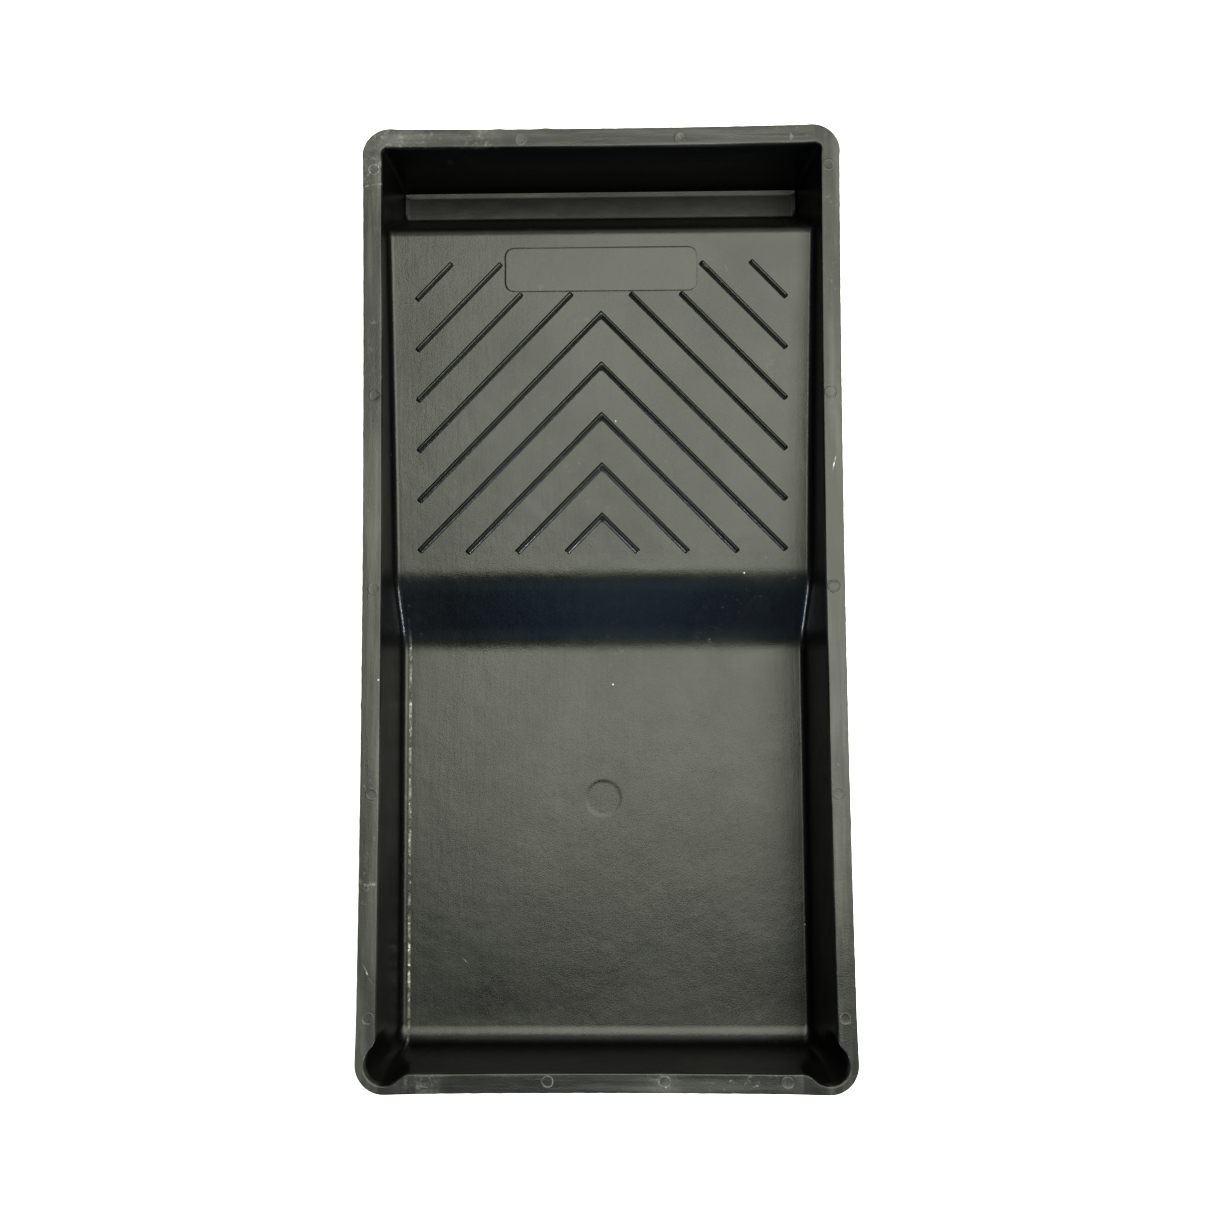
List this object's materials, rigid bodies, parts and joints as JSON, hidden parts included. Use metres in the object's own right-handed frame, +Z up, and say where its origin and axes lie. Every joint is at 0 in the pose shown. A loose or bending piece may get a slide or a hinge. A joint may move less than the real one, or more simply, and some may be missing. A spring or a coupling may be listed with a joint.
{
  "type": "paint roller tray",
  "caption": "Shallow moulded plastic tray for a mini paint roller: deep flat well, ribbed ramp, rear foot, flat rim and pouring spouts in the front corners",
  "frame": {"origin": "On the surface that the tray stands on, at the middle of its outline", "axes": "+Z up, +Y from the paint well at the front up the ramp to the foot at the rear, +X to the right"},
  "size_m": [0.155, 0.3064, 0.036],
  "materials": {
    "black_polypropylene": "satin moulded, finely textured, scuffed on the rim"
  },
  "bodies": {
    "root": {"badge_panel": "black_polypropylene", "chevron_rib_1": "black_polypropylene", "chevron_rib_2": "black_polypropylene", "chevron_rib_3": "black_polypropylene", "chevron_rib_4": "black_polypropylene", "chevron_rib_5": "black_polypropylene", "foot_floor": "black_polypropylene", "foot_front_wall": "black_polypropylene", "foot_side_left": "black_polypropylene", "foot_side_right": "black_polypropylene", "front_wall": "black_polypropylene", "pour_spout_left": "black_polypropylene", "pour_spout_right": "black_polypropylene", "ramp_panel": "black_polypropylene", "ramp_side_left": "black_polypropylene", "ramp_side_right": "black_polypropylene", "rear_wall": "black_polypropylene", "rim_corner_left": "black_polypropylene", "rim_corner_right": "black_polypropylene", "rim_front": "black_polypropylene", "rim_left": "black_polypropylene", "rim_rear": "black_polypropylene", "rim_right": "black_polypropylene", "side_rib_left_1": "black_polypropylene", "side_rib_left_2": "black_polypropylene", "side_rib_left_3": "black_polypropylene", "side_rib_left_4": "black_polypropylene", "side_rib_right_1": "black_polypropylene", "side_rib_right_2": "black_polypropylene", "side_rib_right_3": "black_polypropylene", "side_rib_right_4": "black_polypropylene", "slope_side_left": "black_polypropylene", "slope_side_right": "black_polypropylene", "well_floor": "black_polypropylene", "well_side_left": "black_polypropylene", "well_side_right": "black_polypropylene", "well_slope": "black_polypropylene"}
  },
  "joints": []
}
